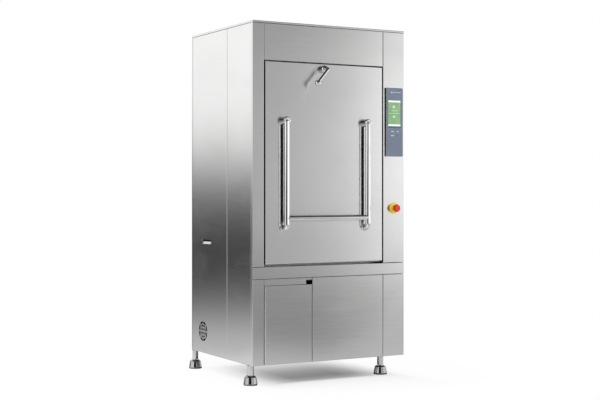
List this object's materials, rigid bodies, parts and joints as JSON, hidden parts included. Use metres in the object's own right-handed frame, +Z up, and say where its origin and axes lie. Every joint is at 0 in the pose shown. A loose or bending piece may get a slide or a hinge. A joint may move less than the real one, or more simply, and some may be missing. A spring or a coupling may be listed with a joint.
{
  "type": "laboratory glassware washer",
  "caption": "Free-standing stainless glassware washer with a drop-down wash door, tube handle, latch lever, touch control column, detergent bay and levelling feet.",
  "frame": {"origin": "on the floor, under the middle of the outline", "axes": "+X to the right along the front, +Y to the back, +Z up"},
  "size_m": [0.973, 0.881, 1.92],
  "materials": {
    "panel_steel": "fine brushed",
    "inner_steel": "smooth",
    "frame_steel": "mill",
    "chrome": "polished",
    "brass_nickel": "plated",
    "gasket_rubber": "matte",
    "fascia_plastic": "satin",
    "screen": "lit display",
    "stop_yellow": "satin",
    "stop_red": "satin",
    "black_plastic": "matte",
    "cast_aluminium": "cast"
  },
  "bodies": {
    "cabinet": {"chassis_frame": "frame_steel", "floor_pan": "inner_steel", "leg_tubes": "inner_steel", "upper_left_jamb": "panel_steel", "lower_left_jamb": "panel_steel", "lower_control_column": "panel_steel", "header_panel": "panel_steel", "mid_rail": "panel_steel", "service_panel": "panel_steel", "grip_strip": "panel_steel", "upper_control_column": "panel_steel", "control_fascia": "fascia_plastic", "touch_screen": "screen", "control_box": "black_plastic", "estop_collar": "stop_yellow", "left_front_side_panel": "panel_steel", "right_front_side_panel": "panel_steel", "left_rear_side_panel": "panel_steel", "right_rear_side_panel": "panel_steel", "side_pull_cups": "inner_steel", "back_panel": "panel_steel", "connection_recess": "inner_steel", "rear_connections": "brass_nickel", "top_cover": "panel_steel", "vent_collar": "inner_steel", "wash_chamber": "inner_steel", "door_gasket": "gasket_rubber", "rack_rails": "inner_steel", "sump_bowl": "inner_steel", "heating_ring": "inner_steel", "sump_strainer": "inner_steel", "circulation_pump": "cast_aluminium", "wash_pipes": "inner_steel", "drying_blower": "cast_aluminium", "detergent_bay": "inner_steel", "dosing_pumps": "black_plastic", "fan_frame": "black_plastic", "hinge_bearings": "frame_steel", "latch_keeper": "frame_steel", "service_hinge_ears": "frame_steel"},
    "wash_door": {"door_skin": "panel_steel", "door_liner": "inner_steel", "door_hinge_pins": "frame_steel", "handle_tubes": "chrome", "handle_posts": "chrome", "handle_cross_bar": "chrome", "latch_boss": "chrome"},
    "latch": {"latch_lever": "chrome", "lever_knob": "chrome", "latch_cam": "frame_steel"},
    "detergent_door": {"service_door": "panel_steel", "service_door_hinges": "frame_steel"},
    "stop_button": {"estop_head": "stop_red"},
    "lower_arm": {"lower_spray_arm": "inner_steel"},
    "upper_arm": {"upper_spray_arm": "inner_steel"},
    "fan": {"fan_rotor": "black_plastic"},
    "front_left_foot": {"foot_front_left": "chrome"},
    "front_right_foot": {"foot_front_right": "chrome"},
    "rear_left_foot": {"foot_rear_left": "chrome"},
    "rear_right_foot": {"foot_rear_right": "chrome"}
  },
  "joints": [
    {"name": "wash_door_hinge", "type": "hinge", "parent": "cabinet", "child": "wash_door", "pos_m": [-0.024, -0.3285, 0.659], "axis": [1, 0, 0], "range_deg": [0, 90]},
    {"name": "latch_turn", "type": "hinge", "parent": "wash_door", "child": "latch", "pos_m": [-0.04, -0.3565, 1.6805], "axis": [0, -1, 0], "range_deg": [0, 90]},
    {"name": "service_door_hinge", "type": "hinge", "parent": "cabinet", "child": "detergent_door", "pos_m": [-0.3853, -0.3493, 0.3135], "axis": [0, 0, -1], "range_deg": [0, 100]},
    {"name": "stop_press", "type": "slide", "parent": "cabinet", "child": "stop_button", "axis": [0, 1, 0], "range_m": [0, 0.006], "stiffness_N_per_m": 4000},
    {"name": "lower_arm_spin", "type": "hinge", "parent": "cabinet", "child": "lower_arm", "pos_m": [-0.024, 0.0115, 0.75], "axis": [0, 0, 1], "continuous": true},
    {"name": "upper_arm_spin", "type": "hinge", "parent": "cabinet", "child": "upper_arm", "pos_m": [-0.024, 0.0115, 1.58], "axis": [0, 0, 1], "continuous": true},
    {"name": "fan_spin", "type": "hinge", "parent": "cabinet", "child": "fan", "pos_m": [-0.4423, 0.2665, 0.2275], "axis": [1, 0, 0], "continuous": true},
    {"name": "front_left_foot_level", "type": "slide", "parent": "cabinet", "child": "front_left_foot", "axis": [0, 0, -1], "range_m": [0, 0.025]},
    {"name": "front_right_foot_level", "type": "slide", "parent": "cabinet", "child": "front_right_foot", "axis": [0, 0, -1], "range_m": [0, 0.025]},
    {"name": "rear_left_foot_level", "type": "slide", "parent": "cabinet", "child": "rear_left_foot", "axis": [0, 0, -1], "range_m": [0, 0.025]},
    {"name": "rear_right_foot_level", "type": "slide", "parent": "cabinet", "child": "rear_right_foot", "axis": [0, 0, -1], "range_m": [0, 0.025]}
  ]
}
